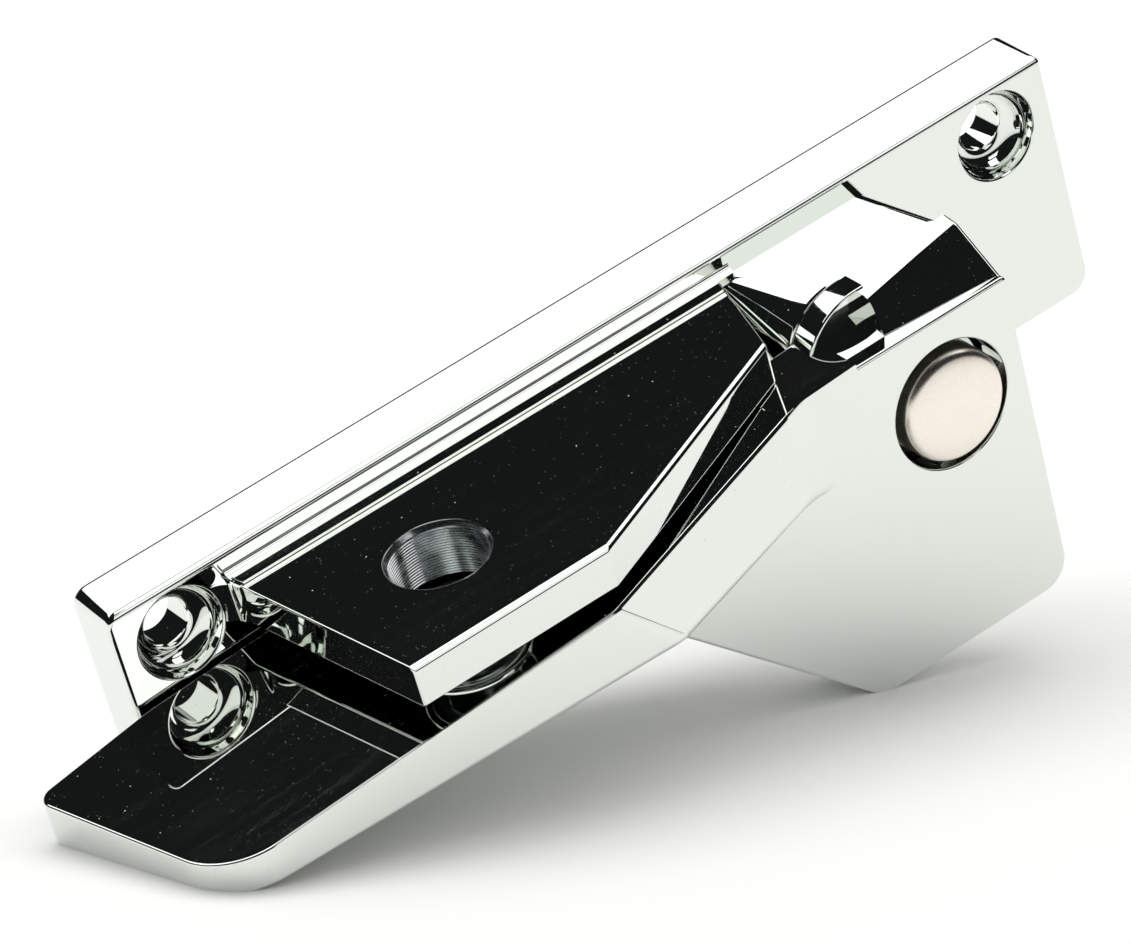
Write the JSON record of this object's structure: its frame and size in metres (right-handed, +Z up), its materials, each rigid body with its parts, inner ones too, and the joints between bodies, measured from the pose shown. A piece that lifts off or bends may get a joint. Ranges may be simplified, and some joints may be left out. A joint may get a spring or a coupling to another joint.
{
  "type": "toggle bolt latch",
  "caption": "Chromed latch: an upright mounting plate with a lug and a pivot boss, and a swinging lever whose nose is the bolt.",
  "frame": {"origin": "centre of the mounting plate's flat back face", "axes": "+X along the plate towards the pivot, +Z up, away from the bolt nose, +Y out of the plate's back into the door frame; the lever is on the -Y side"},
  "size_m": [0.1561, 0.0421, 0.0553],
  "materials": {
    "chrome": "mirror polished chrome plate",
    "satin_nickel": "satin nickel plate, slightly warm",
    "machined_steel": "bright turned steel",
    "bronze": "plain bearing bronze",
    "spring_steel": "tempered spring steel",
    "zinc": "zinc plated steel"
  },
  "bodies": {
    "base": {"mounting_body": "chrome", "lug_bushing": "machined_steel", "pivot_pin": "satin_nickel", "thrust_washer": "bronze", "wave_washer": "spring_steel", "back_washer": "zinc", "lock_nut": "zinc", "stop_pin": "machined_steel"},
    "lever": {"handle_lever": "chrome", "handle_sleeve": "machined_steel", "pivot_bush": "bronze"}
  },
  "joints": [
    {"name": "lever_swing", "type": "hinge", "parent": "base", "child": "lever", "pos_m": [0.0336, -0.0195, -0.005], "axis": [0, -1, 0], "range_deg": [0, 95]}
  ]
}
